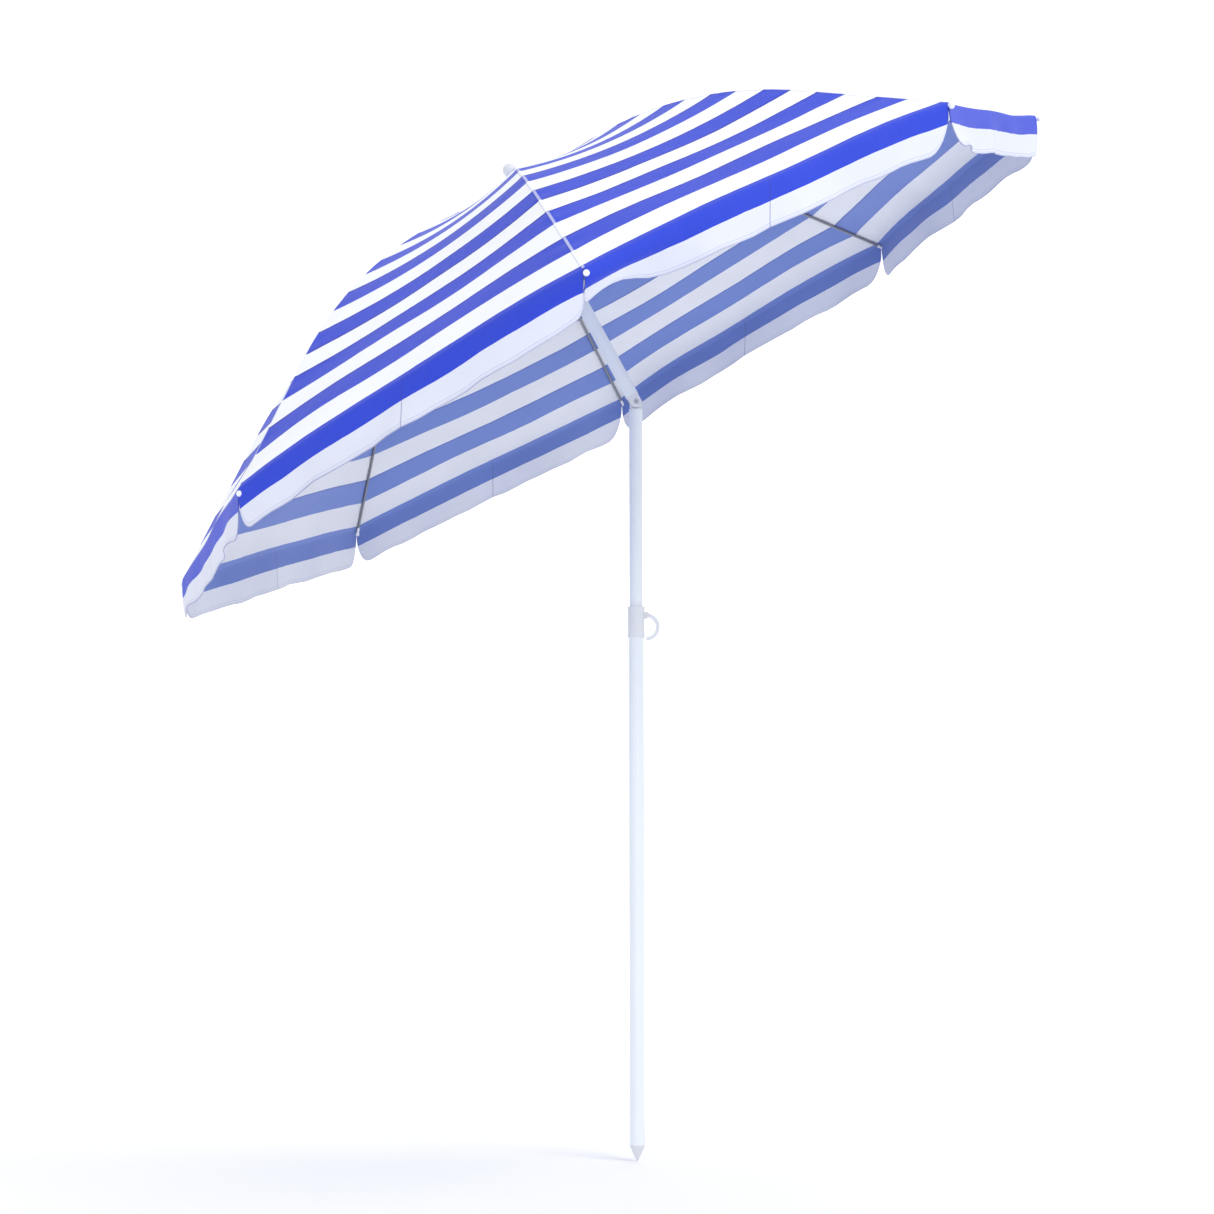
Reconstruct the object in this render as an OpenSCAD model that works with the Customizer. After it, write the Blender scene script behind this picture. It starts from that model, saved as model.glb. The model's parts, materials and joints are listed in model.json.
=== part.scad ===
// Tilting beach umbrella: a ground spike, two telescoping tubes held by a cam lever,
// a push-button tilt joint, and an eight-rib canopy that folds by its runner.
// Millimetres. The origin is the centre of the lower tube's bottom end and Z points up.
// The canopy leans towards -X, and the tilt pivot runs along Y.

/* [Lower pole] */
// Length of the lower tube below its collar
lower_len = 821.5; // [700:0.5:1000]
// Outside diameter of the lower tube
lower_od = 25; // [25:0.5:26]
// Length of the pointed spike under the tube
spike_len = 26.5; // [20:0.5:60]

/* [Lock collar] */
// Height of the collar
collar_h = 51; // [48:0.5:60]
// Distance of the lever's pivot from the pole axis
lever_pin_x = 16.4; // [16.4:0.1:17]
// Outside radius of the lever's hook
hook_r = 22.5; // [20:0.5:23]
// Thickness of the lever
lever_t = 7.4; // [6:0.1:7.4]

/* [Upper pole] */
// Outside diameter of the upper tube
upper_od = 22; // [22:0.1:22.2]
// Wall of the upper tube
upper_wall = 1; // [0.8:0.1:1.2]
// Distance from the collar's top to the tilt pivot
upper_show = 341; // [320:1:500]
// Length of upper tube inside the lower one
upper_hidden = 430; // [350:1:460]

/* [Tilt joint] */
// Lean of the canopy from upright, in degrees
tilt = 28.4; // [10:0.1:29]
// Diameter of the pivot rivet
tilt_pin_d = 5; // [4:0.5:5]

/* [Canopy] */
// Distance of the rib tips from the canopy axis
rim_r = 810; // [780:5:830]
// Height of the rib hinges above the tilt pivot
hinge_h = 410; // [400:1:425]
// Turn of the first rib from the tilt plane, in degrees
rib_turn = 8; // [6:0.5:10]
// Downward slope of a rib where it leaves the crown, in degrees
slope_in = 7; // [4:0.5:8]
// Downward slope of a rib at the rim, in degrees
slope_out = 34.2; // [32:0.1:36]
// Radius of the bend between the two slopes
bend_r = 895; // [840:5:940]
// Length of the straight inner stretch of a rib
rib_inner = 185; // [183:1:190]
// Depth of the valance that hangs from the rim
valance = 74; // [60:1:90]

/* [Stretchers] */
// Distance along the rib from its hinge to the stretcher bracket
bracket_at = 170; // [165:1:171]
// Length of a stretcher between its pivots
stretcher_len = 215; // [210:1:218]

/* [Hidden] */
$fn = 48;
RIBS = 8;
step = 360 / RIBS;
half_step = step / 2;

gap = 0.3;          // between bodies that pass each other
run = 0.08;         // radial clearance of a running fit
seat = 0.05;        // radial clearance of a pressed or glued seat

lower_r = lower_od / 2;
lower_bore = lower_r - 1.2;
neck_r = lower_r - 0.2;
neck_h = collar_h - 6.5;
collar_top = lower_len + collar_h;
collar_r = lower_r + 1.2;
rim_flange_r = lower_r + 2.1;
lever_pin_z = collar_top - 13.8;
lever_pin_r = 1.5;
hook_w = 6;
hook_mid = hook_r - hook_w / 2;
bead_r = hook_w / 2 + 0.3;
bead_t = lever_t - 0.4;
cam_r = 3.3;
cam_off = 0.43;     // the cam's centre lies this far from the lever's pivot
lug_gap = lever_t / 2 + gap;
lug_t = 3;
lug_r = 5.5;

upper_r = upper_od / 2;
upper_bore = upper_r - upper_wall;
pivot_z = collar_top + upper_show;
upper_bottom = collar_top - upper_hidden;

plug_r = upper_bore - seat;
tongue_t = 10;
knuckle_r = 9.5;
ear_r = knuckle_r + 0.7;
shoulder = 11.5;    // from the pivot to each knuckle's shoulder
tube_end = 14;      // from the pivot to each tube's end
plug_end = 50;      // from the pivot to each plug's end
tilt_pin_r = tilt_pin_d / 2;
button_r = 1.8;
button_at = 6.6;    // radius of the button's arc about the pivot

hinge_r = 18.5;     // ring that carries the ribs
runner_ring_r = 19; // ring that carries the stretchers
wire_r = 0.9;
eye_r = 3.2;
eye_t = 3.6;
eye_bore = 1.2;
slot_w = eye_t + 4 * gap;
rib_r = 2;
bend_rod_r = 2.15;  // the bend's rod, which takes the straight rods in its ends
tip_r = 4.5;
bracket_r = 3.2;
bracket_len = 22;
stretcher_r = 1.8;
fork_len = 30;
fork_half = 3.2;
ear_in = bracket_r + gap;
ear_out = ear_in + 1.2;
crown_bottom = hinge_h - 12;
crown_top = hinge_h + 2.2;
finial_top = hinge_h + 44.5;
finial_ball_r = 12.2;

cloth_in = 3.5;     // cloth's inner face above the rib's centre line
cloth_t = 1.0;
cloth_gap = 0.3;
cloth_r0 = 12;      // radius of the hole that the finial passes through
cloth_end = 8;      // from the cloth's edge to the centre of the rib tip

// The rib's centre line as a function of the distance s from its hinge:
// [distance from the canopy axis, height above the tilt pivot, downward slope].
bend_len = bend_r * (slope_out - slope_in) * PI / 180;
bend_x = hinge_r + rib_inner * cos(slope_in);
bend_z = hinge_h - rib_inner * sin(slope_in);
outer_x = bend_x + bend_r * (sin(slope_out) - sin(slope_in));
outer_z = bend_z - bend_r * (cos(slope_in) - cos(slope_out));
outer_len = (rim_r - outer_x) / cos(slope_out);
rib_len = rib_inner + bend_len + outer_len;

function on_bend(a) = [bend_x + bend_r * (sin(a) - sin(slope_in)),
                       bend_z - bend_r * (cos(slope_in) - cos(a)), a];
function on_rib(s) =
    s <= rib_inner ? [hinge_r + s * cos(slope_in), hinge_h - s * sin(slope_in), slope_in] :
    s <= rib_inner + bend_len ? on_bend(slope_in + (s - rib_inner) / bend_r * 180 / PI) :
    [outer_x + (s - rib_inner - bend_len) * cos(slope_out),
     outer_z - (s - rib_inner - bend_len) * sin(slope_out), slope_out];

// The stretcher's two ends.
bracket_pt = on_rib(bracket_at);
stretcher_dx = bracket_pt[0] - runner_ring_r;
runner_h = bracket_pt[1] - sqrt(pow(stretcher_len, 2) - pow(stretcher_dx, 2));
stretcher_rise = asin((bracket_pt[1] - runner_h) / stretcher_len);
runner_half = 22;

// Straight down, seen in the frame of a rib at azimuth a.
function down(a) = [-sin(tilt) * cos(a), sin(tilt) * sin(a), -cos(tilt)];
function unit(v) = v / norm(v);

function rib_azimuth(k) = -(rib_turn + step * (k - 1));

// Frames: the tilt pivot, the leaning canopy, and one rib with X pointing outwards.
module at_pivot() translate([0, 0, pivot_z]) children();
module in_canopy() at_pivot() rotate([0, -tilt, 0]) children();
module at_rib(k) in_canopy() rotate([0, 0, rib_azimuth(k)]) children();

module along_x(r, len) rotate([0, 90, 0]) cylinder(r = r, h = len);
module across(r, from, to) translate([0, to, 0]) rotate([90, 0, 0]) cylinder(r = r, h = to - from);
module across_mid(r, width) across(r, -width / 2, width / 2);
module slab(x0, x1, half_y, z0, z1)
    translate([x0, -half_y, z0]) cube([x1 - x0, 2 * half_y, z1 - z0]);
module both_sides() {
    children();
    mirror([0, 1, 0]) children();
}
module ring(r, wire) rotate_extrude($fn = 96) translate([r, 0]) circle(r = wire, $fn = 24);

// ---- lower pole and its lock ----

module lower_pole() color("ghostwhite") difference() {
    union() {
        cylinder(r = lower_r, h = lower_len);
        translate([0, 0, lower_len]) cylinder(r = neck_r, h = neck_h);
    }
    translate([0, 0, -1]) cylinder(r = lower_bore, h = collar_top);
    translate([0, 0, lever_pin_z]) slab(0, lower_od, 4.1, -4.8, 4.8);
}

module ground_spike() color("lightsteelblue") {
    plug_h = 30;
    cylinder(r = lower_bore - seat, h = plug_h);
    translate([0, 0, -2]) cylinder(r = neck_r, h = 2);
    translate([0, 0, -spike_len]) cylinder(r1 = 1, r2 = neck_r, h = spike_len - 2);
}

module collar_sleeve() {
    cylinder(r = collar_r, h = collar_h);
    cylinder(r = rim_flange_r, h = 2.5);
    translate([0, 0, collar_h - 2.5]) cylinder(r = rim_flange_r, h = 2.5);
    cylinder(r = collar_r + 0.5, h = 7);
    translate([0, 0, collar_h - 29]) cylinder(r = collar_r + 0.4, h = 3);
}

module lever_lugs() both_sides() translate([0, 0, lever_pin_z]) {
    translate([0, lug_gap, 0]) slab_lug();
}

module slab_lug() {
    translate([lower_r - 1, 0, -lug_r]) cube([lever_pin_x - lower_r + 1, lug_t, 2 * lug_r]);
    translate([lever_pin_x, 0, 0]) across(lug_r, 0, lug_t);
}

module lock_collar() color("white") difference() {
    union() {
        translate([0, 0, lower_len]) collar_sleeve();
        lever_lugs();
    }
    translate([0, 0, lower_len - 1]) cylinder(r = neck_r + seat, h = neck_h + 1);
    cylinder(r = upper_r + gap, h = collar_top + 1);
    translate([0, 0, lever_pin_z]) slab(0, lower_od, lug_gap, -7, 7);
    translate([lever_pin_x, 0, lever_pin_z]) across_mid(lever_pin_r + run, lower_od);
}

module lever_pin() color("silver") translate([lever_pin_x, 0, lever_pin_z]) {
    head_at = lug_gap + lug_t + run;
    across_mid(lever_pin_r, 2 * head_at + 1);
    both_sides() {
        across(3.6, head_at, head_at + 0.8);
        across(2.6, head_at, head_at + 1.2);
    }
}

module lock_lever() color("white") translate([lever_pin_x, 0, lever_pin_z]) difference() {
    union() {
        translate([-cam_off, 0, 0]) across_mid(cam_r, lever_t + 0.2);
        translate([0, 0, -hook_mid]) {
            rotate([90, 0, 0]) rotate([0, 0, -80]) rotate_extrude(angle = 170, $fn = 180)
                translate([hook_mid - hook_w / 2, -lever_t / 2]) square([hook_w, lever_t]);
            rotate([0, 80, 0]) translate([hook_mid, 0, 0]) across_mid(bead_r, bead_t);
        }
    }
    across_mid(lever_pin_r + run, lower_od);
}

module brake_shoe() color("gainsboro") difference() {
    cam_gap = 0.2;
    translate([0, 0, lever_pin_z])
        slab(upper_r - 1, lever_pin_x - cam_r - cam_off - cam_gap, 3.8, -4.4, 4.4);
    cylinder(r = upper_r + run, h = collar_top);
}

// ---- upper pole and the tilt joint ----

module pole_guide_bush() color("dimgray") {
    spigot_h = 20;
    flange_h = 12;
    translate([0, 0, upper_bottom - gap - flange_h]) cylinder(r = lower_bore - 0.08, h = flange_h);
    translate([0, 0, upper_bottom - gap]) cylinder(r = upper_bore - 0.08, h = spigot_h);
}

module upper_pole() color("ghostwhite") difference() {
    translate([0, 0, upper_bottom]) cylinder(r = upper_r, h = pivot_z - tube_end - upper_bottom);
    cylinder(r = upper_bore, h = pivot_z);
}

module tilt_tongue() color("white") at_pivot() difference() {
    union() {
        translate([0, 0, -plug_end]) cylinder(r = plug_r, h = plug_end - tube_end);
        translate([0, 0, -tube_end]) cylinder(r = upper_r, h = tube_end - shoulder);
        slab(-knuckle_r, knuckle_r, tongue_t / 2, -shoulder, 0);
        across_mid(knuckle_r, tongue_t);
    }
    across_mid(tilt_pin_r + seat, lower_od);
    translate([0, 0, -button_at]) across(button_r + run, -4, tongue_t);
}

module tilt_pin() color("darkgray") at_pivot() {
    across_mid(tilt_pin_r, 2 * upper_r + 2);
    both_sides() {
        across(4, upper_r + gap, upper_r + 1.1);
        across(2.8, upper_r + gap, upper_r + 1.5);
    }
}

module tilt_button() color("silver") at_pivot() translate([0, 0, -button_at]) {
    across(button_r, 0.4, 12);
    translate([0, 12, 0]) sphere(r = button_r);
}

// A coil as one swept tube of `turns` turns, from y0 to y1.
module coil(r, wire, turns, y0, y1) {
    sides = 6;
    rings = turns * 12;
    pts = [for (i = [0:rings], j = [0:sides - 1])
        let (a = 360 * turns * i / rings, b = 360 * j / sides, q = r + wire * cos(b))
        [q * cos(a), y0 + (y1 - y0) * i / rings + wire * sin(b), q * sin(a)]];
    polyhedron(points = pts, convexity = 6, faces = concat(
        [[for (j = [sides - 1:-1:0]) j], [for (j = [0:sides - 1]) rings * sides + j]],
        [for (i = [0:rings - 1], j = [0:sides - 1]) each
            let (p = i * sides + j, q = i * sides + (j + 1) % sides)
            [[p, q, p + sides], [q, q + sides, p + sides]]]));
}

module button_spring() color("silver") at_pivot() translate([0, 0, -button_at])
    coil(1.3, 0.22, 5, -3.7, 0.15);

module tilt_fork() color("white") in_canopy() difference() {
    union() {
        translate([0, 0, tube_end]) cylinder(r = plug_r, h = plug_end - tube_end);
        translate([0, 0, shoulder]) cylinder(r = upper_r, h = tube_end - shoulder);
        both_sides() intersection() {
            translate([0, 0, -ear_r]) cylinder(r = upper_r, h = ear_r + shoulder);
            union() {
                across(ear_r, tongue_t / 2 + gap, upper_r);
                translate([-upper_r, tongue_t / 2 + gap, 0]) cube([2 * upper_r, upper_r, shoulder]);
            }
        }
    }
    across_mid(tilt_pin_r + run, lower_od);
    button_slot();
}

// The button's path through the rear ear, from upright to the full lean.
module button_slot() {
    cuts = 5;
    for (i = [0:cuts - 1]) rotate([0, tilt * i / (cuts - 1), 0])
        translate([0, 0, -button_at]) across(button_r + gap, 0, lower_od);
}

// ---- canopy pole, crown and runner ----

catch_top = runner_h - runner_half - gap;

module canopy_pole() color("ghostwhite") in_canopy() difference() {
    translate([0, 0, tube_end]) cylinder(r = upper_r, h = crown_bottom - tube_end);
    cylinder(r = upper_bore, h = hinge_h);
    translate([-2.5, 0, catch_top - 17]) cube([5, lower_od, 18]);
}

// Eight radial slots, open above, below and outwards.
module slots(from, z0, z1) for (k = [1:RIBS]) rotate([0, 0, rib_azimuth(k)])
    slab(from, 40, slot_w / 2, z0, z1);

module crown() color("white") in_canopy() difference() {
    union() {
        translate([0, 0, crown_bottom]) cylinder(r = 24.5, h = crown_top - crown_bottom);
        translate([0, 0, crown_bottom - 30]) cylinder(r = plug_r, h = 31);
    }
    slots(hinge_r - eye_r - 0.6, crown_bottom - 1, crown_top + 1);
    translate([0, 0, hinge_h]) ring(hinge_r, wire_r + run);
    translate([0, 0, crown_bottom - 20]) cylinder(r = 4 + seat, h = 50);
}

module crown_ring() color("silver") in_canopy() translate([0, 0, hinge_h]) ring(hinge_r, wire_r);

module finial() color("white") in_canopy() {
    flange_z = hinge_h + 5.8;
    ball_z = finial_top - finial_ball_r;
    translate([0, 0, crown_bottom - 18]) cylinder(r = 4, h = crown_top - crown_bottom + 19);
    translate([0, 0, crown_top]) cylinder(r = 9, h = flange_z + 1 - crown_top);
    translate([0, 0, flange_z]) cylinder(r = 15, h = 2);
    translate([0, 0, flange_z + 1]) cylinder(r = 8, h = ball_z - flange_z - 1);
    translate([0, 0, ball_z]) sphere(r = finial_ball_r);
}

module runner_catch() color("silver") in_canopy() translate([0, 0, catch_top])
    rotate([0, 0, 90]) translate([0, 2, 0]) rotate([90, 0, 0]) linear_extrude(4)
        polygon([[8.4, 0], [13.4, 0], [13.4, -2], [9.7, -16], [9.7, -34], [8.4, -34]]);

module runner() color("white") in_canopy() translate([0, 0, runner_h]) difference() {
    union() {
        translate([0, 0, -7]) cylinder(r = 25, h = 14);
        translate([0, 0, -runner_half]) cylinder(r = 14.4, h = 2 * runner_half);
        translate([0, 0, -runner_half]) cylinder(r = 17, h = 4);
    }
    translate([0, 0, -runner_half - 1]) cylinder(r = upper_r + gap, h = 2 * runner_half + 2);
    slots(runner_ring_r - eye_r - 0.6, -8, 8);
    ring(runner_ring_r, wire_r + run);
}

module runner_ring() color("silver") in_canopy() translate([0, 0, runner_h])
    ring(runner_ring_r, wire_r);

// ---- ribs and stretchers ----

module eye() difference() {
    across_mid(eye_r, eye_t);
    across_mid(eye_bore, 2 * eye_t);
}

module rib(k) color("whitesmoke") at_rib(k) {
    tip_gap = 3;
    lap = 3;
    translate([hinge_r, 0, hinge_h]) rotate([0, slope_in, 0]) {
        eye();
        translate([2.6, 0, 0]) along_x(rib_r, rib_inner - 2.6 + lap);
    }
    translate([bend_x - bend_r * sin(slope_in), 0, bend_z - bend_r * cos(slope_in)])
        rotate([90, 0, 0]) rotate([0, 0, 90 - slope_out])
            rotate_extrude(angle = slope_out - slope_in, $fn = 720)
                translate([bend_r, 0]) circle(r = bend_rod_r, $fn = 24);
    translate([outer_x, 0, outer_z]) rotate([0, slope_out, 0])
        translate([-lap, 0, 0]) along_x(rib_r, lap + outer_len - tip_gap);
}

module rib_tip(k) color("white") at_rib(k) {
    sleeve = 16;
    end = on_rib(rib_len);
    translate([end[0], 0, end[1]]) rotate([0, slope_out, 0]) difference() {
        union() {
            sphere(r = tip_r);
            translate([-sleeve, 0, 0]) along_x(2.8, sleeve);
        }
        translate([-sleeve - 1, 0, 0]) along_x(rib_r + seat, sleeve - 1.8);
    }
}

module rib_bracket(k) color("silver") at_rib(k)
    translate([bracket_pt[0], 0, bracket_pt[1]]) rotate([0, slope_in, 0]) difference() {
        translate([-bracket_len / 2, 0, 0]) along_x(bracket_r, bracket_len);
        translate([-bracket_len, 0, 0]) along_x(rib_r + seat, 2 * bracket_len);
    }

module stretcher(k) color("whitesmoke") at_rib(k)
    translate([runner_ring_r, 0, runner_h]) rotate([0, -stretcher_rise, 0]) {
        web_x = stretcher_len - fork_len;
        eye();
        translate([2.6, 0, 0]) along_x(stretcher_r, web_x);
        slab(web_x, web_x + 4, ear_out, -fork_half, fork_half);
        both_sides() difference() {
            union() {
                translate([web_x, ear_in, -fork_half])
                    cube([fork_len, ear_out - ear_in, 2 * fork_half]);
                translate([stretcher_len, 0, 0]) across(fork_half, ear_in, ear_out);
                translate([stretcher_len, 0, 0]) across(2.4, ear_out, ear_out + 1);
            }
        }
    }

// ---- canopy cloth: one panel for each rib, reaching half way to its neighbours ----

cloth_rows = concat(
    [for (s = [(cloth_r0 - hinge_r) / cos(slope_in), 60, 125]) s],
    [for (i = [0:6]) rib_inner + bend_len * i / 6],
    [for (i = [1:2]) let (end = rib_len - cloth_end, start = rib_inner + bend_len)
        start + (end - start) * i / 2]);
cloth_last = len(cloth_rows) - 1;

// Steps across a panel, as a share of the way from the rib to its edge, and how much
// of the valance hangs there: it is notched at the rib.
across_share = [-1, -0.15, -0.05, 0, 0.05, 0.15, 1];
hang_share = [1, 1, 0.008, 0.008, 0.008, 1, 1];

// A point of the panel in its rib's frame, h above the rib's centre line.
function cloth_pt(s, share, h) =
    let (p = on_rib(s), edge = p[0] * cos(half_step),
         far = edge * sin(half_step) - cloth_gap)
    [p[0] + abs(share) * (edge * cos(half_step) - p[0]) + h * sin(p[2]),
     share * far, p[1] + h * cos(p[2])];

// Outward normal of the valance beside the rib, on the side that share lies on.
function valance_out(a, share) =
    let (side = share < 0 ? -1 : 1, s = cloth_rows[cloth_last],
         chord = cloth_pt(s, side, 0) - cloth_pt(s, 0, 0), n = unit(cross(chord, down(a))))
    n[0] < 0 ? -n : n;

function valance_pt(a, i, side) =
    cloth_pt(cloth_rows[cloth_last], across_share[i], cloth_in + cloth_t / 2)
    + valance * hang_share[i] * down(a)
    + side * cloth_t / 2 * unit(abs(across_share[i]) < 0.01
        ? valance_out(a, 1) + valance_out(a, -1) : valance_out(a, across_share[i]));

// Numbering of the panel's points: row j, column i, and face 0 outside or 1 inside.
cols = len(across_share);
rows = cloth_last + 2;
function cell(j, i, face) = (face * rows + j) * cols + i;
function quad(a, b, c, d) = [[a, b, c], [a, c, d]];

module canopy_panel(k) color("royalblue") at_rib(k) {
    a = rib_azimuth(k);
    top = [for (j = [0:cloth_last], i = [0:cols - 1])
        cloth_pt(cloth_rows[j], across_share[i], cloth_in + cloth_t)];
    bottom = [for (j = [0:cloth_last], i = [0:cols - 1])
        cloth_pt(cloth_rows[j], across_share[i], cloth_in)];
    pts = concat(top, [for (i = [0:cols - 1]) valance_pt(a, i, 1)],
                 bottom, [for (i = [0:cols - 1]) valance_pt(a, i, -1)]);
    polyhedron(points = pts, convexity = 6, faces = concat(
        [for (j = [0:rows - 2], i = [0:cols - 2]) each
            quad(cell(j, i, 0), cell(j, i + 1, 0), cell(j + 1, i + 1, 0), cell(j + 1, i, 0))],
        [for (j = [0:rows - 2], i = [0:cols - 2]) each
            quad(cell(j, i, 1), cell(j + 1, i, 1), cell(j + 1, i + 1, 1), cell(j, i + 1, 1))],
        [for (i = [0:cols - 2]) each concat(
            quad(cell(0, i, 0), cell(0, i, 1), cell(0, i + 1, 1), cell(0, i + 1, 0)),
            quad(cell(rows - 1, i, 0), cell(rows - 1, i + 1, 0),
                 cell(rows - 1, i + 1, 1), cell(rows - 1, i, 1)))],
        [for (j = [0:rows - 2]) each concat(
            quad(cell(j, 0, 0), cell(j + 1, 0, 0), cell(j + 1, 0, 1), cell(j, 0, 1)),
            quad(cell(j, cols - 1, 0), cell(j, cols - 1, 1),
                 cell(j + 1, cols - 1, 1), cell(j + 1, cols - 1, 0)))]));
}

lower_pole();
ground_spike();
lock_collar();
lever_pin();
lock_lever();
brake_shoe();
pole_guide_bush();
upper_pole();
tilt_tongue();
tilt_pin();
tilt_button();
button_spring();
tilt_fork();
canopy_pole();
crown();
crown_ring();
finial();
runner_catch();
runner();
runner_ring();
for (k = [1:RIBS]) {
    rib(k);
    rib_tip(k);
    rib_bracket(k);
    stretcher(k);
    canopy_panel(k);
}
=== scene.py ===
import json
import random
from math import cos, exp, pi, radians, sin, sqrt

import bpy
from mathutils import Matrix, Vector


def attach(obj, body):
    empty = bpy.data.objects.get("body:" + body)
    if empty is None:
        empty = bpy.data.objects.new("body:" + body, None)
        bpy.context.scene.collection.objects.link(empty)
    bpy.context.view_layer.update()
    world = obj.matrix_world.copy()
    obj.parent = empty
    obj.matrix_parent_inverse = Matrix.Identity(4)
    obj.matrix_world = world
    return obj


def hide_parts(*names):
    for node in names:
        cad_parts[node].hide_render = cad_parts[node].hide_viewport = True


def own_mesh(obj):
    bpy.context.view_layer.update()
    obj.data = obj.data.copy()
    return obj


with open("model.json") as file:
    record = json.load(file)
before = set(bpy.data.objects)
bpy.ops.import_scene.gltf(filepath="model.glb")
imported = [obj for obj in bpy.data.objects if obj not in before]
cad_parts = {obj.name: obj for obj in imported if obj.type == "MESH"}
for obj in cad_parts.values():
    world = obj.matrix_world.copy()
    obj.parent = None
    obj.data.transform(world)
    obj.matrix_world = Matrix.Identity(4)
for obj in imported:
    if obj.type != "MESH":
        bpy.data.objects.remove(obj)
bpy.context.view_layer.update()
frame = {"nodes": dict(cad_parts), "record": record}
NODES = frame["nodes"]

# ---- the umbrella's own measures, in metres and radians ----
PIVOT_Z = 1.2135                    # tilt pivot, above the spike's shoulder
TILT = radians(28.4)
RIBS = 8
FIRST_RIB = radians(8)              # rib 1, clockwise from +X as seen from above
HALF_STEP = pi / RIBS               # half the angle between neighbouring ribs
HINGE_R, HINGE_H = 0.0185, 0.410    # rib hinges, from the canopy's axis and above the pivot
SLOPE_IN, SLOPE_OUT = radians(7), radians(34.2)
RIB_INNER, BEND_R = 0.185, 0.895    # straight part by the crown, radius of the bend after it
RIB_END_R = 0.810
CLOTH_LIFT = 0.0040                 # cloth's middle above the rib's centre line
CLOTH_T = 0.0007
CLOTH_HOLE = 0.012                  # radius of the hole at the crown
CLOTH_SHORT = 0.008                 # from the cloth's edge to the rib's end
VALANCE = 0.074
NOTCH = 0.0015                      # valance left at a rib

BEND_LEN = BEND_R * (SLOPE_OUT - SLOPE_IN)
BEND_X = HINGE_R + RIB_INNER * cos(SLOPE_IN)
BEND_Z = HINGE_H - RIB_INNER * sin(SLOPE_IN)
OUTER_X = BEND_X + BEND_R * (sin(SLOPE_OUT) - sin(SLOPE_IN))
OUTER_Z = BEND_Z - BEND_R * (cos(SLOPE_IN) - cos(SLOPE_OUT))
OUTER_LEN = (RIB_END_R - OUTER_X) / cos(SLOPE_OUT)
RIB_LEN = RIB_INNER + BEND_LEN + OUTER_LEN
CLOTH_FROM = (CLOTH_HOLE - HINGE_R) / cos(SLOPE_IN)
CLOTH_TO = RIB_LEN - CLOTH_SHORT

UPRIGHT = Matrix.Translation((0, 0, PIVOT_Z)) @ Matrix.Rotation(-TILT, 4, "Y")
DOWN = Vector((-sin(TILT), 0, -cos(TILT)))     # straight down, in the canopy's frame

# Blue bands of the cloth, from and to, along the rib from its hinge. The last one runs
# over the rim on to the valance.
BLUE_ON_VALANCE = 0.032
BANDS = [(0.036, 0.084), (0.136, 0.185), (0.236, 0.286),
         (0.336, 0.385), (0.4365, 0.486), (0.539, 0.5865),
         (0.6365, 0.686), (0.742, 0.795), (0.848, CLOTH_TO + BLUE_ON_VALANCE)]

SEED = 100

# How the cloth sets between two ribs. FROM and OVER are places along the rib.
SAG, SAG_OVER = 0.013, 0.35         # sinks over its inner part
RIM_FROM, RIM_OVER = 0.56, 0.28     # where the sag gives way to the rim's own rise
RIM_DRAWN_IN = 0.007                # the rim is drawn in towards the crown
DRAWN_FROM, DRAWN_OVER = 0.60, 0.26
WAVE, WAVE_FROM, WAVE_OVER = 0.0016, 0.35, 0.5
WAVE_TURN = 9                       # how fast the waves change along the rib
PUCKER, PUCKER_LENGTH = 0.0007, 0.024
PUCKER_RISE, PUCKER_FADE = 0.012, 0.035     # as shares of the gore, from the seam

# How the valance hangs.
RIM_TURN = 0.004                    # how far it takes to turn down over the rim
EDGE_UP, EDGE_WAVE = 0.0022, 0.0011
CORNER_R, CORNER_POWER = 0.030, 2.1
SWAY, SWAY_POWER = 0.0045, 1.15
LEAN, LEAN_STEP = 0.5, 0.7          # a slow sway across the gore, and its phase from gore to gore
CURL_FROM, CURL_OVER, CURL_STEPS = 0.012, 0.026, 12

# How far each gore's rim stands out of the straight line between its ribs.
RIM_RISE = {1: -0.003, 2: 0.004, 3: 0.005, 4: 0.0, 5: -0.002, 6: -0.003, 7: 0.008, 8: 0.003}
# Where the valance's lower part has blown in (-) or out (+): place, width and degrees.
CURLS = {1: [(0.90, 0.10, 30)], 2: [(0.90, 0.15, -72)], 3: [(0.07, 0.15, -48)]}


# ---- cloth shape ----

def on_rib(s):
    """Radius, height and slope of the rib's centre line, s along it."""
    if s <= RIB_INNER:
        return HINGE_R + s * cos(SLOPE_IN), HINGE_H - s * sin(SLOPE_IN), SLOPE_IN
    if s <= RIB_INNER + BEND_LEN:
        a = SLOPE_IN + (s - RIB_INNER) / BEND_R
        return (BEND_X + BEND_R * (sin(a) - sin(SLOPE_IN)),
                BEND_Z - BEND_R * (cos(SLOPE_IN) - cos(a)), a)
    d = s - RIB_INNER - BEND_LEN
    return OUTER_X + d * cos(SLOPE_OUT), OUTER_Z - d * sin(SLOPE_OUT), SLOPE_OUT


def azimuth(k):
    """Direction of rib k from the canopy's axis, anticlockwise from +X."""
    return -(FIRST_RIB + 2 * HALF_STEP * (k - 1))


def rib_point(k, s):
    """A point of the cloth's middle surface over rib k, and its outward normal."""
    r, z, slope = on_rib(s)
    a = azimuth(k)
    out = Vector((cos(a), sin(a), 0))
    return (out * (r + CLOTH_LIFT * sin(slope)) + Vector((0, 0, z + CLOTH_LIFT * cos(slope))),
            out * sin(slope) + Vector((0, 0, cos(slope))))


def smooth(x):
    """From 0 to 1 with a level start and end."""
    x = min(1.0, max(0.0, x))
    return x * x * (3 - 2 * x)


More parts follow.
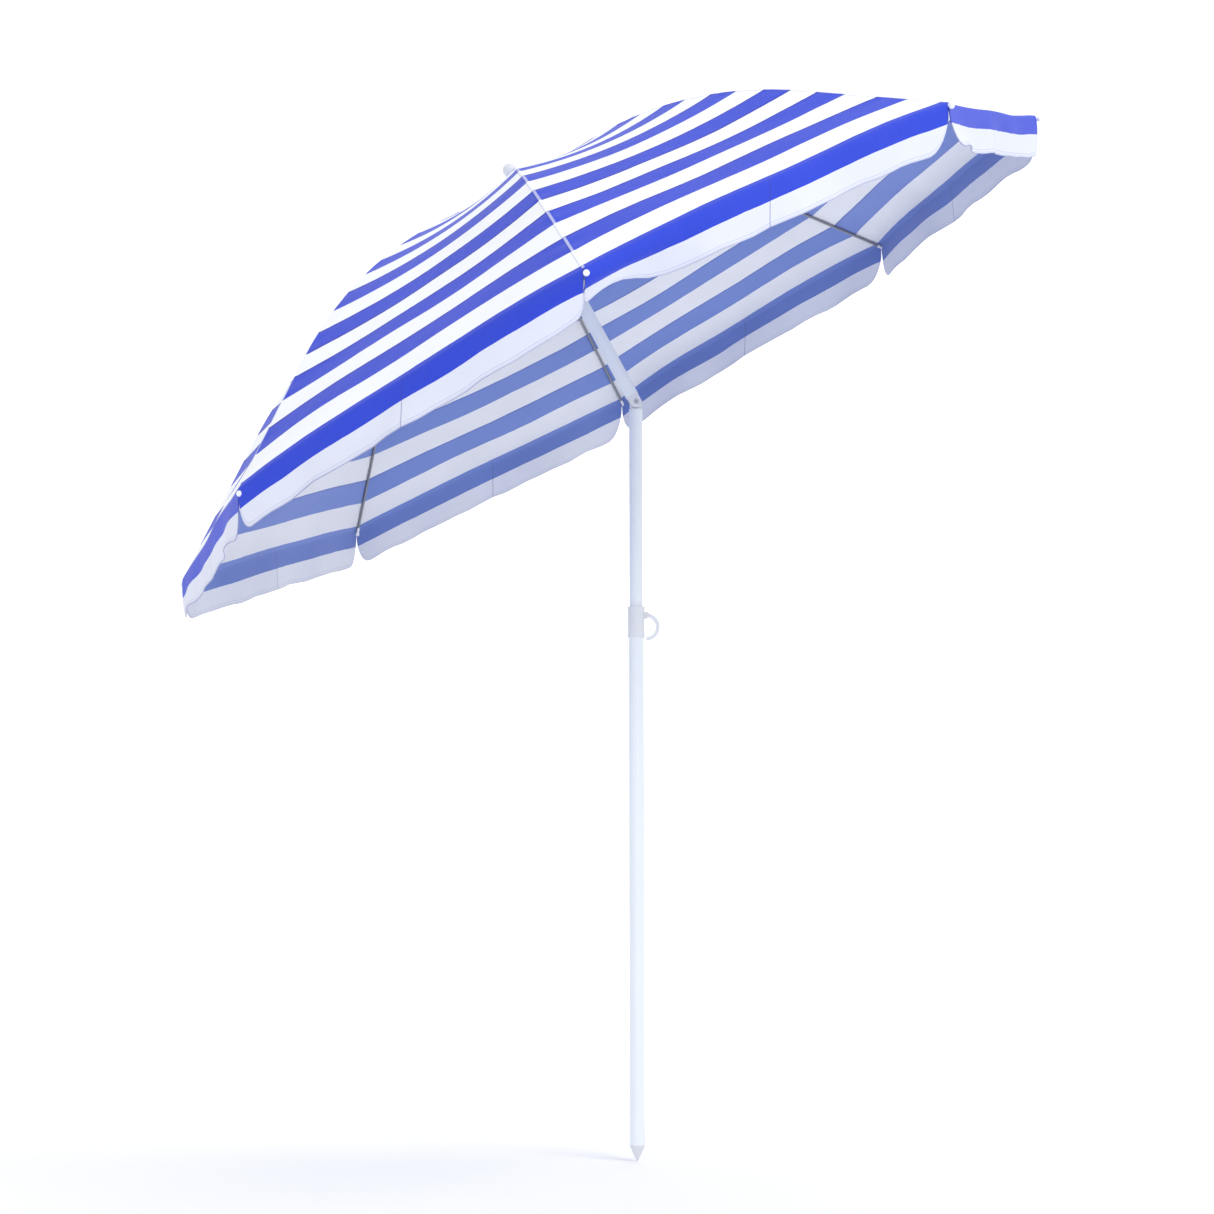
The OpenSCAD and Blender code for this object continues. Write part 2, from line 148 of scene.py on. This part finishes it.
class Gore:
    """The cloth between rib k and the next: t runs from 0 to 1 across it."""

    def __init__(self, k, rim_rise, curls):
        rand = random.Random(SEED + k)

        def draw(weakest, turns):
            """Waves across the gore: strength, turns and phase of each."""
            return [(rand.uniform(weakest, 1.0), f, rand.uniform(0, 2 * pi)) for f in turns]

        self.k, self.rim_rise, self.curls = k, rim_rise, curls
        self.waves = draw(0.6, (1, 2, 3))
        self.hang = draw(0.5, (1.6, 2.7, 4.3))
        self.edge = draw(0.5, (5.3, 8.1))
        chord = rib_point(k + 1, CLOTH_TO)[0] - rib_point(k, CLOTH_TO)[0]
        out = DOWN.cross(chord).normalized()
        self.out = out if out.dot(rib_point(k, CLOTH_TO)[0]) > 0 else -out

    def top(self, t, s):
        """A point of the canopy's middle surface: it sinks between the ribs over its inner
        part, and its rim is drawn in towards the crown."""
        belly = 4 * t * (1 - t)
        full = 1 - (1 - belly) ** 2
        near_rim = smooth((s - RIM_FROM) / RIM_OVER)
        at = s - RIM_DRAWN_IN * full * smooth((s - DRAWN_FROM) / DRAWN_OVER)
        a, na = rib_point(self.k, at)
        b, nb = rib_point(self.k + 1, at)
        n = (na + nb).normalized()
        rise = self.rim_rise * near_rim * full
        rise -= SAG * smooth(s / SAG_OVER) * (1 - near_rim) * belly
        rise += WAVE * smooth((s - WAVE_FROM) / WAVE_OVER) * belly * sum(
            w * sin(pi * (f + 1) * t) * cos(WAVE_TURN * s * f + p) for w, f, p in self.waves)
        for side, phase in ((t, 0), (1 - t, 2)):
            pucker = PUCKER * sin(2 * pi * s / PUCKER_LENGTH + phase)
            rise += pucker * exp(-side / PUCKER_FADE) * smooth(side / PUCKER_RISE)
        return a.lerp(b, t) + n * rise

    def depth(self, t, y):
        """Depth of the valance, y from the rib: rounded beside it and rippled between."""
        x = min(1.0, y / CORNER_R)
        full = VALANCE - EDGE_UP - EDGE_WAVE * sum(w * sin(2 * pi * f * t + p)
                                                   for w, f, p in self.edge)
        return NOTCH + (full - NOTCH) * (1 - (1 - x) ** CORNER_POWER) ** (1 / CORNER_POWER)

    def flap(self, t, d):
        """A point of the valance, d below the rim: it turns down there, sways, and where
        it curls, its lower part swings in or out."""
        edge = self.top(t, CLOTH_TO)
        along = (edge - self.top(t, CLOTH_TO - RIM_TURN)).normalized()
        turn = RIM_TURN * (1 - exp(-d / RIM_TURN))
        share = d / VALANCE
        wave = sum(w * sin(2 * pi * f * t + p) for w, f, p in self.hang)
        sway = SWAY * share ** SWAY_POWER * (wave + LEAN * sin(pi * t + LEAN_STEP * self.k))
        angle = sum(radians(most) * exp(-((t - at) / width) ** 2)
                    for at, width, most in self.curls)
        hung, swung, step = 0.0, 0.0, d / CURL_STEPS
        for i in range(CURL_STEPS):
            turned = angle * smooth(((i + 0.5) * step - CURL_FROM) / CURL_OVER)
            hung += cos(turned) * step
            swung += sin(turned) * step
        return edge + along * turn + DOWN * (hung - turn) + self.out * (swung + sway)


GORES = {k: Gore(k, RIM_RISE[k], CURLS.get(k, [])) for k in range(1, RIBS + 1)}


def gore(k):
    """The gore after rib k, counted round."""
    return GORES[(k - 1) % RIBS + 1]


def half_width(s):
    """From a rib to mid-gore, straight across."""
    return on_rib(s)[0] * sin(HALF_STEP)


RIM_HALF = half_width(CLOTH_TO)
WELT = 0.0034                       # half width of the seam, which stays the same all along
# The grid's columns, from the rib to mid-gore, as they lie at the rim.
ACROSS = [0, 0.0016, 0.0028, WELT, 0.006, 0.010, 0.015, 0.021, 0.028, 0.037, 0.049, 0.064,
          0.082, 0.102, 0.124, 0.148, 0.173, 0.199, 0.226, 0.253, 0.280, RIM_HALF]


def offset_across(j, s):
    """Column j's distance from the rib, s along it: beyond the seam it narrows."""
    y = ACROSS[j]
    k = (half_width(s) - WELT) / (RIM_HALF - WELT)
    return y if y <= WELT else WELT + (y - WELT) * k


def flap_depth(k, side, t, y):
    """Depth of the valance on one side of rib k, y from the rib."""
    return gore(k).depth(t, y) if side >= 0 else gore(k - 1).depth(1 - t, y)


ROW_STEP = 0.015


def row_places(first, last):
    """Where the grid's rows lie along the rib."""
    count = round((last - first) / ROW_STEP)
    return [first + (last - first) * i / count for i in range(count)] + [last]


# The valance's rows, as shares of its depth.
FLAP_SHARES = [0.02, 0.045, 0.08, 0.13, 0.2, 0.28, 0.37, 0.46, 0.56, 0.66, 0.76, 0.86, 0.94, 1]


def side_point(k, side, t, row, on_flap):
    """A point of rib k's panel: side 1 is the gore after the rib, -1 the one before it."""
    g = gore(k) if side > 0 else gore(k - 1)
    x = t if side > 0 else 1 - t
    return g.flap(x, row) if on_flap else g.top(x, row)


ACROSS_STEP, ALONG_STEP = 4e-4, 1e-4        # a share of the gore, and metres


def side_normal(k, side, t, row, on_flap):
    """Outward normal there, from two short steps, across the panel and down it."""
    t = max(t, ACROSS_STEP)
    across = (side_point(k, side, t + ACROSS_STEP, row, on_flap)
              - side_point(k, side, t - ACROSS_STEP, row, on_flap))
    low = max(row - ALONG_STEP, 0) if on_flap else row - ALONG_STEP
    along = (side_point(k, side, t, row + ALONG_STEP, on_flap)
             - side_point(k, side, t, low, on_flap))
    return along.cross(across).normalized() * -side


SEAM_RISE, SEAM_FLAT, SEAM_FADE = 0.0005, 0.0022, 0.0012
HEM_RISE, HEM_WIDTH, HEM_FADE = 0.00035, 0.006, 0.001


def cloth_place(k, side, j, row, on_flap):
    """One point of the grid: outside, inside, normal, and four facts for the material:
    the distance across from the rib, along it, from the free edge and from mid-gore."""
    s = CLOTH_TO if on_flap else row
    y = offset_across(j, s)
    t = min(0.5, y / (2 * half_width(s)))
    depth = flap_depth(k, side, t, y)
    at = depth * row if on_flap else row
    if side:
        p = side_point(k, side, t, at, on_flap)
        n = side_normal(k, side, t, at, on_flap)
    else:
        p = (side_point(k, 1, 0, at, on_flap) + side_point(k, -1, 0, at, on_flap)) / 2
        n = (side_normal(k, 1, 0, at, on_flap)
             + side_normal(k, -1, 0, at, on_flap)).normalized()
    if not on_flap and row == CLOTH_TO:
        n = (n + side_normal(k, side or 1, t, ALONG_STEP, True)).normalized()
    if on_flap:
        seam = 0.0
        hem = HEM_RISE * (1 - smooth((depth - at - HEM_WIDTH) / HEM_FADE))
        facts = ((side or 1) * y, CLOTH_TO + at, depth - at, RIM_HALF - y)
    else:
        seam = SEAM_RISE * (1 - smooth((y - SEAM_FLAT) / SEAM_FADE))
        hem = 0.0
        facts = ((side or 1) * y, row, depth + CLOTH_TO - row, half_width(s) - y)
    return (UPRIGHT @ (p + n * (CLOTH_T / 2 + seam + hem)),
            UPRIGHT @ (p - n * (CLOTH_T / 2 + hem)), UPRIGHT.to_3x3() @ n, facts)


OUTSIDE, INSIDE, CUT = 0, 1, 2      # what a face of the shell is


def shell_faces(rows, columns):
    """The faces of a closed shell, whose outer grid of points comes before its inner one."""
    half = rows * columns
    faces = []
    for r in range(rows - 1):
        for c in range(columns - 1):
            a, d = r * columns + c, (r + 1) * columns + c
            faces.append(((a + 1, d + 1, d, a), OUTSIDE))
            faces.append(((half + d, half + d + 1, half + a + 1, half + a), INSIDE))
    for c in range(columns - 1):
        a, b = c, (rows - 1) * columns + c
        faces.append(((half + a, half + a + 1, a + 1, a), CUT))
        faces.append(((half + b + 1, half + b, b, b + 1), CUT))
    for r in range(rows - 1):
        a, b = r * columns, (r + 1) * columns
        faces.append(((half + b, half + a, a, b), CUT))
        a, b = a + columns - 1, b + columns - 1
        faces.append(((half + a, half + b, b, a), CUT))
    return faces


def cloth_piece(k, name, first, last):
    """Part of the cloth that rib k carries, half of the gore on each side. Its rows run
    from first to last along the rib, with the valance below the last of the canopy."""
    out = range(1, len(ACROSS))
    columns = [(-1, j) for j in reversed(out)] + [(0, 0)] + [(1, j) for j in out]
    rows = [(s, False) for s in row_places(first, last)]
    if last == CLOTH_TO:
        rows += [(share, True) for share in FLAP_SHARES]
    outer, inner, normals, facts = zip(*[cloth_place(k, side, j, row, on_flap)
                                         for row, on_flap in rows for side, j in columns])
    faces, kinds = zip(*shell_faces(len(rows), len(columns)))
    mesh = bpy.data.meshes.new(name)
    mesh.from_pydata([tuple(v) for v in outer + inner], [], list(faces))
    mesh.attributes.new("cloth", "FLOAT_VECTOR", "POINT")
    mesh.attributes.new("middle", "FLOAT", "POINT")
    both = facts + facts
    mesh.attributes["cloth"].data.foreach_set("vector", [x for f in both for x in f[:3]])
    mesh.attributes["middle"].data.foreach_set("value", [f[3] for f in both])
    mesh.update()
    shading = [(0, 0, 0)] * len(mesh.loops)      # no length: Blender's own, on the cut edges
    for poly, kind in zip(mesh.polygons, kinds):
        poly.use_smooth = kind != CUT
        poly.material_index = 1 if kind == INSIDE else 0
        for i in poly.loop_indices:
            v = mesh.loops[i].vertex_index
            if kind == OUTSIDE:
                shading[i] = tuple(normals[v])
            elif kind == INSIDE:
                shading[i] = tuple(-normals[v - len(outer)])
    mesh.normals_split_custom_set(shading)
    obj = bpy.data.objects.new(name, mesh)
    bpy.context.scene.collection.objects.link(obj)
    return obj


# ---- materials ----

def srgb(r, g, b):
    """Linear colour from a 0 to 255 one."""
    def lin(c):
        c /= 255
        return c / 12.92 if c <= 0.04045 else ((c + 0.055) / 1.055) ** 2.4
    return (lin(r), lin(g), lin(b), 1.0)


class Nodes:
    """A material's node tree with short ways to add to it."""

    def __init__(self, name):
        self.material = bpy.data.materials.new(name)
        self.material.use_nodes = True
        self.tree = self.material.node_tree
        self.shader = self.tree.nodes["Principled BSDF"]

    def add(self, kind, **values):
        n = self.tree.nodes.new(kind)
        for key, v in values.items():
            setattr(n, key, v)
        return n

    def link(self, a, b):
        self.tree.links.new(a, b)

    def math(self, op, a, b=None):
        n = self.add("ShaderNodeMath", operation=op)
        for socket, v in zip(n.inputs, (a, b)):
            if v is None:
                continue
            if isinstance(v, (int, float)):
                socket.default_value = v
            else:
                self.link(v, socket)
        return n.outputs[0]

    def sine(self, value, length):
        """A wave along the value, of the given length."""
        return self.math("SINE", self.math("MULTIPLY", value, 2 * pi / length))

    def near(self, value, at, reach):
        """1 where the value is within reach of the place, and 0 elsewhere."""
        away = self.math("ABSOLUTE", self.math("SUBTRACT", value, at))
        return self.math("LESS_THAN", away, reach)

    def tint(self, colour, mask, share, to):
        """The colour, moved by a share towards another where the mask is 1."""
        return self.mix(self.math("MULTIPLY", mask, share), colour, to)

    def mix(self, share, a, b, blend="MIX"):
        n = self.add("ShaderNodeMix", data_type="RGBA", blend_type=blend)
        for socket, v in ((n.inputs[0], share), (n.inputs[6], a), (n.inputs[7], b)):
            if isinstance(v, (int, float, tuple)):
                socket.default_value = v
            else:
                self.link(v, socket)
        return n.outputs[2]

    def noise(self, where, scale, detail=3.0, rough=0.5):
        n = self.add("ShaderNodeTexNoise")
        n.inputs["Scale"].default_value = scale
        n.inputs["Detail"].default_value = detail
        n.inputs["Roughness"].default_value = rough
        self.link(where, n.inputs["Vector"])
        return n.outputs[0]

    def span(self, value, low, high):
        n = self.add("ShaderNodeMapRange")
        n.inputs["To Min"].default_value = low
        n.inputs["To Max"].default_value = high
        self.link(value, n.inputs["Value"])
        return n.outputs[0]

    def bump(self, height, strength, distance, after=None):
        n = self.add("ShaderNodeBump")
        n.inputs["Strength"].default_value = strength
        n.inputs["Distance"].default_value = distance
        self.link(height, n.inputs["Height"])
        if after is not None:
            self.link(after, n.inputs["Normal"])
        return n.outputs[0]

    def set(self, **values):
        for key, v in values.items():
            self.shader.inputs[key.replace("_", " ")].default_value = v


# Scales of the colour's drift, the surface, the marks and the gloss, as shares of the grain.
DRIFT, SURFACE, MARKS, GLOSS = 0.12, 9, 1.4, 0.6
MARKS_OVER, MARKS_SHARE = 0.71, 0.55
SURFACE_DEPTH = 0.0002


def hard_material(name, low, high, rough, metal=0.0, grain=40.0, stretch=(1, 1, 1), bump=0.12,
                  coat=0.0, wear=None):
    """Paint, plastic or metal: colour drifts from low to high with a fine surface grain."""
    m = Nodes(name)
    scaled = m.add("ShaderNodeMapping")
    scaled.inputs["Scale"].default_value = stretch
    m.link(m.add("ShaderNodeTexCoord").outputs["Object"], scaled.inputs["Vector"])
    where = scaled.outputs[0]
    colour = m.mix(m.span(m.noise(where, grain * DRIFT, 4), -0.1, 1.1), low, high)
    if wear is not None:
        marks = m.math("GREATER_THAN", m.noise(where, grain * MARKS, 6, 0.7), MARKS_OVER)
        colour = m.tint(colour, marks, MARKS_SHARE, wear)
    m.link(colour, m.shader.inputs["Base Color"])
    m.link(m.span(m.noise(where, grain * GLOSS, 3), rough - 0.06, rough + 0.08),
           m.shader.inputs["Roughness"])
    m.link(m.bump(m.noise(where, grain * SURFACE, 2), bump, SURFACE_DEPTH),
           m.shader.inputs["Normal"])
    m.set(Metallic=metal, Coat_Weight=coat)
    return m.material


# A band's dark edges. A colour ramp holds 32 stops, so the bands by the crown have none.
BAND_EDGE = 0.0016
PLAIN_BANDS = 3


def stripes(m, s, blue, dark, white, flap_white_painted_light):
    """The bands' colours, along the rib and down the valance."""
    ramp = m.add("ShaderNodeValToRGB")
    ramp.color_ramp.interpolation = "CONSTANT"
    stops = [(0.0, white)]
    for i, (a, b) in enumerate(BANDS):
        if i < PLAIN_BANDS:
            stops += [(a, blue), (b, white)]
        else:
            # Below the last band the valance's white is painted light: greyer outside, as painted
            # shade on the hanging valance, and lighter inside, as painted light from the right.
            below = flap_white_painted_light if b > CLOTH_TO else white
            stops += [(a, dark), (a + BAND_EDGE, blue), (b - BAND_EDGE, dark), (b, below)]
    e = ramp.color_ramp.elements
    while len(e) > 1:
        e.remove(e[-1])
    e[0].position, e[0].color = stops[0]
    for at, colour in stops[1:]:
        x = e.new(at)
        x.color = colour
    m.link(s, ramp.inputs[0])
    return ramp.outputs[0]


YARN = 0.0011                       # length of the weave's pattern
WANDER = 0.0012                     # how far a band's edge strays
SEAM_HIGHLIGHT_HALF, INSIDE_BAND_HALF = 0.0020, 0.0030       # painted highlight along the seam outside, a darker band inside, over each rib
STITCH, STITCH_AT, STITCH_HALF = 0.0045, 0.0031, 0.0006
STITCH_GAP = -0.55                  # below this level of its wave, a stitch is in the cloth
HEM_THREADS, THREAD_HALF = (0.0024, 0.0062), 0.00055
EDGE_LINE = 0.0009


def cloth_material(name, blue, dark, white, flap_white_painted_light, seam, line, hem, outside):
    """Striped cloth. Its places come from the attributes that cloth_piece sets."""
    m = Nodes(name)
    fact = m.add("ShaderNodeAttribute", attribute_name="cloth").outputs["Vector"]
    middle = m.add("ShaderNodeAttribute", attribute_name="middle").outputs["Fac"]
    split = m.add("ShaderNodeSeparateXYZ")
    m.link(fact, split.inputs[0])
    y, s, edge = split.outputs
    where = m.add("ShaderNodeTexCoord").outputs["Object"]
    wander = m.span(m.noise(where, 22, 2), -WANDER, WANDER)
    colour = stripes(m, m.math("ADD", s, wander), blue, dark, white, flap_white_painted_light)

    # yarns: a tiny cross weave in the cloth's own directions, and broader unevenness
    weave = m.math("MULTIPLY", m.sine(y, YARN), m.sine(s, YARN))
    tone = m.math("ADD", m.span(m.noise(where, 9, 4), 0.93, 1.06),
                  m.math("MULTIPLY", weave, 0.015))
    grey = m.add("ShaderNodeCombineColor")
    for socket in grey.inputs:
        m.link(tone, socket)
    colour = m.mix(1.0, colour, grey.outputs[0], "MULTIPLY")

    # the seam over each rib: a painted highlight along its welt, and beside it a dashed dark
    # line, which is stitching and painted shade of the welt
    over_rib = m.math("ABSOLUTE", y)
    on_top = m.math("LESS_THAN", s, CLOTH_TO)
    if outside:
        band = m.math("MULTIPLY", m.math("LESS_THAN", over_rib, SEAM_HIGHLIGHT_HALF), on_top)
        # painted highlight on the welt's ridge
        colour = m.tint(colour, band, 0.5, seam)
        dashes = m.math("GREATER_THAN", m.sine(s, STITCH), STITCH_GAP)
        stitches_and_welt_shade = m.math("MULTIPLY", m.near(y, STITCH_AT, STITCH_HALF), dashes)
        # the dashed line on one side of the seam: stitching, darkened as painted shade beside the
        # welt
        colour = m.tint(colour, stitches_and_welt_shade, 0.5, line)
    else:
        # inside, a darker band over each rib
        band = m.math("MULTIPLY", m.math("LESS_THAN", over_rib, INSIDE_BAND_HALF), on_top)
        colour = m.tint(colour, band, 0.55, line)

    # the hem's two threads and its edge, and the line where two panels meet on the valance
    for at in HEM_THREADS:
        colour = m.tint(colour, m.near(edge, at, THREAD_HALF), 0.45, hem)
    colour = m.tint(colour, m.math("LESS_THAN", edge, EDGE_LINE), 0.6, line)
    on_flap = m.math("SUBTRACT", 1.0, on_top)
    joint = m.math("MULTIPLY", m.math("LESS_THAN", middle, EDGE_LINE), on_flap)
    colour = m.tint(colour, joint, 0.5, line)
    m.link(colour, m.shader.inputs["Base Color"])

    m.link(m.span(m.noise(where, 120, 2), 0.62, 0.82), m.shader.inputs["Roughness"])
    soft = m.bump(m.noise(where, 38, 4, 0.55), 0.25, 0.004)
    m.link(m.bump(weave, 0.12, 0.0003, soft), m.shader.inputs["Normal"])
    m.set(Sheen_Weight=0.15, Sheen_Roughness=0.5, Specular_IOR_Level=0.3)
    return m.material


# Outside, the valance's lower white is greyer than the canopy's white: painted shade on the
# hanging valance.
CLOTH_OUT = cloth_material(
    "canopy_cloth_outside", outside=True,
    blue=srgb(41, 68, 208), dark=srgb(24, 40, 174), white=srgb(248, 250, 254),
    flap_white_painted_light=srgb(222, 226, 242), seam=srgb(240, 243, 252), line=srgb(52, 62, 150),
    hem=srgb(150, 158, 205))
# The inside's colours are painted light: its blue is paler and its white greyer than outside,
# standing in for light shining through the cloth and for the shade under the canopy.
CLOTH_IN = cloth_material(
    "canopy_cloth_inside", outside=False,
    blue=srgb(106, 128, 196), dark=srgb(94, 114, 182), white=srgb(216, 219, 229),
    flap_white_painted_light=srgb(222, 225, 236), seam=srgb(180, 186, 216), line=srgb(96, 100, 122),
    hem=srgb(176, 181, 206))

SLOT_MATERIALS = {
    "painted_tube": hard_material(
        "tube_paint", srgb(221, 229, 238), srgb(239, 244, 249), 0.30,
        grain=30, stretch=(1, 1, 0.25), coat=0.3, wear=srgb(196, 202, 216)),
    "spike_plastic": hard_material(
        "spike_plastic_moulded", srgb(200, 204, 212), srgb(226, 229, 236), 0.45,
        grain=60, bump=0.2, wear=srgb(176, 180, 188)),
    "white_plastic": hard_material(
        "fitting_plastic_moulded", srgb(214, 218, 225), srgb(234, 237, 242), 0.38,
        grain=70, bump=0.15, wear=srgb(206, 210, 218)),
    "shoe_plastic": hard_material(
        "shoe_plastic_moulded", srgb(60, 62, 68), srgb(84, 86, 92), 0.6,
        grain=80, bump=0.3),
    "bright_steel": hard_material(
        "steel_brushed", srgb(176, 180, 186), srgb(212, 215, 220), 0.26,
        metal=1.0, grain=90, stretch=(1, 1, 0.1), bump=0.1),
    "rib_fibre": hard_material(
        "rib_rod_paint", srgb(114, 118, 127), srgb(140, 144, 153), 0.45,
        grain=120, stretch=(0.3, 0.3, 1), bump=0.2, wear=srgb(140, 143, 152)),
    "painted_rib": hard_material(
        "stretcher_paint", srgb(118, 122, 131), srgb(144, 148, 157), 0.38,
        grain=80, coat=0.2, wear=srgb(146, 150, 160)),
    "tip_plastic": hard_material(
        "tip_plastic_moulded", srgb(232, 234, 240), srgb(248, 249, 252), 0.35,
        grain=110, bump=0.15),
}

for part in frame["record"]["subparts"]:
    if part["material_slot"] in SLOT_MATERIALS:
        mesh = NODES[part["node"]].data
        mesh.materials.clear()
        mesh.materials.append(SLOT_MATERIALS[part["material_slot"]])


# ---- the cloth pieces ----


# The cloth is cut where a band ends, because folding takes up more of it near the rim:
# a name, where the part ends, and the share of its width that is left when folded.
ZONES = [("crown", BANDS[0][1], 0.62), ("top", BANDS[1][1], 0.475),
         ("upper", BANDS[2][1], 0.41), ("lower", BANDS[5][1], 0.37), ("rim", CLOTH_TO, 0.235)]

for k in range(1, RIBS + 1):
    first = CLOTH_FROM
    for zone, last, keep in ZONES:
        piece = cloth_piece(k, "canopy_cloth_%d_%s" % (k, zone), first, last)
        piece.data.materials.append(CLOTH_OUT)
        piece.data.materials.append(CLOTH_IN)
        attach(piece, "rib_%d" % k)
        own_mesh(piece)
        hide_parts("canopy_panel_%d" % k)
        first = last


# ---- floor, light and camera ----

FLOOR_Z = -0.0268                   # 0.3 mm under the spike's point
FLOOR_NEAR, FLOOR_FAR, FLOOR_HALF = -7.0, 6.0, 14.0
WALL_TOP, WALL_BEND, BEND_STEPS = 9.0, 2.5, 16


def backdrop():
    """A pale floor that curves up into a wall behind the umbrella."""
    angles = [pi / 2 * i / BEND_STEPS for i in range(1, BEND_STEPS + 1)]
    line = [(FLOOR_NEAR, 0.0), (FLOOR_FAR, 0.0)]
    line += [(FLOOR_FAR + WALL_BEND * sin(a), WALL_BEND * (1 - cos(a))) for a in angles]
    line.append((FLOOR_FAR + WALL_BEND, WALL_TOP))
    verts = [(x, y, FLOOR_Z + z) for y, z in line for x in (-FLOOR_HALF, FLOOR_HALF)]
    faces = [(2 * i, 2 * i + 1, 2 * i + 3, 2 * i + 2) for i in range(len(line) - 1)]
    mesh = bpy.data.meshes.new("backdrop")
    mesh.from_pydata(verts, [], faces)
    for poly in mesh.polygons:
        poly.use_smooth = True
    obj = bpy.data.objects.new("backdrop", mesh)
    bpy.context.scene.collection.objects.link(obj)
    mesh.materials.append(hard_material("backdrop_paper", srgb(250, 250, 252),
                                        srgb(253, 253, 254), 0.85, grain=3, bump=0.02))


def area_light(name, at, to, size, watts):
    """A round soft light at one point that faces another."""
    data = bpy.data.lights.new(name, "AREA")
    data.shape, data.size, data.energy = "DISK", size, watts
    obj = bpy.data.objects.new(name, data)
    bpy.context.scene.collection.objects.link(obj)
    obj.location = at
    obj.rotation_euler = (Vector(to) - Vector(at)).to_track_quat("-Z", "Y").to_euler()


backdrop()
area_light("key", (2.2, -2.2, 4.6), (0.0, 0.0, 1.2), 2.2, 80)
area_light("fill", (-3.6, -3.2, 1.6), (0.0, 0.0, 1.0), 3.0, 22)
area_light("under", (0.6, -2.4, 0.2), (0.1, 0.4, 1.4), 2.4, 10)
area_light("backdrop", (0.0, 2.6, 5.0), (0.0, 6.5, 1.6), 4.0, 230)

SKY_COLOUR, SKY_STRENGTH = (0.97, 0.98, 1.0, 1.0), 0.80
bpy.context.scene.view_settings.view_transform = "Standard"
world = bpy.data.worlds.new("studio")
bpy.context.scene.world = world
world.use_nodes = True
sky = world.node_tree.nodes["Background"]
sky.inputs[0].default_value = SKY_COLOUR
sky.inputs[1].default_value = SKY_STRENGTH

# The camera, fitted to the photo's rib tips, pole and spike.
CAMERA_AT = Vector((-0.3712, -3.7507, 0.5500))
YAW, PITCH, ROLL = radians(-4.9224), radians(4.8892), radians(-0.0666)
SENSOR, LENS = 36, 67.9966
ahead = Vector((-sin(YAW) * cos(PITCH), cos(YAW) * cos(PITCH), sin(PITCH)))
right = Vector((cos(YAW), sin(YAW), 0))
up = right.cross(ahead)
right, up = right * cos(ROLL) + up * sin(ROLL), up * cos(ROLL) - right * sin(ROLL)
camera_data = bpy.data.cameras.new("camera")
camera_data.sensor_width = SENSOR
camera_data.lens = LENS
camera = bpy.data.objects.new("camera", camera_data)
bpy.context.scene.collection.objects.link(camera)
camera.matrix_world = Matrix((
    (right.x, up.x, -ahead.x, CAMERA_AT.x),
    (right.y, up.y, -ahead.y, CAMERA_AT.y),
    (right.z, up.z, -ahead.z, CAMERA_AT.z),
    (0, 0, 0, 1)))
bpy.context.scene.camera = camera
